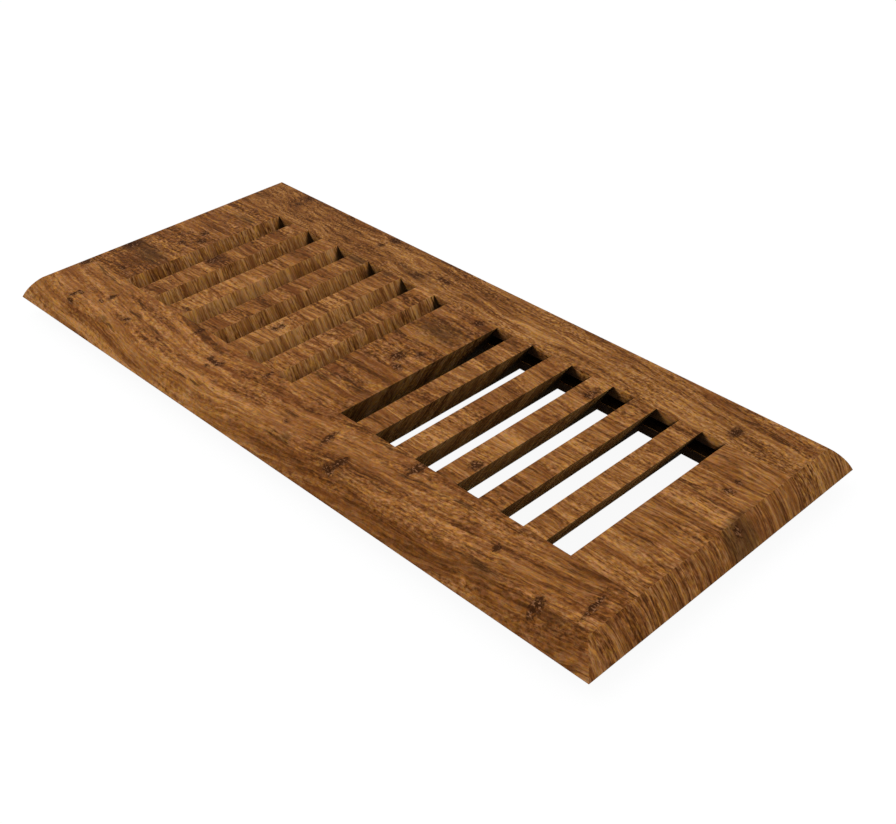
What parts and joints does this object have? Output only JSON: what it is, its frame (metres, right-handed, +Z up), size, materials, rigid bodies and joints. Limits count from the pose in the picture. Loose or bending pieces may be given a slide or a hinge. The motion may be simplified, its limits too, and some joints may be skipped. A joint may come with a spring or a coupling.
{
  "type": "floor register",
  "caption": "Drop-in wooden floor register with a rounded rim and two banks of slanted slats that send warm air towards both ends.",
  "frame": {"origin": "middle of the rim's underside, level with the floor that the rim lies on", "axes": "+X along the length, +Y across the width towards the back rail, +Z up out of the floor"},
  "size_m": [0.2966, 0.136, 0.0174],
  "materials": {
    "rail_wood": "satin",
    "block_wood": "satin",
    "slat_wood": "satin"
  },
  "bodies": {
    "root": {"front_rail": "rail_wood", "back_rail": "rail_wood", "left_end_block": "block_wood", "right_end_block": "block_wood", "center_block": "block_wood", "left_slat_1": "slat_wood", "left_slat_2": "slat_wood", "left_slat_3": "slat_wood", "left_slat_4": "slat_wood", "left_slat_5": "slat_wood", "right_slat_1": "slat_wood", "right_slat_2": "slat_wood", "right_slat_3": "slat_wood", "right_slat_4": "slat_wood", "right_slat_5": "slat_wood"}
  },
  "joints": []
}
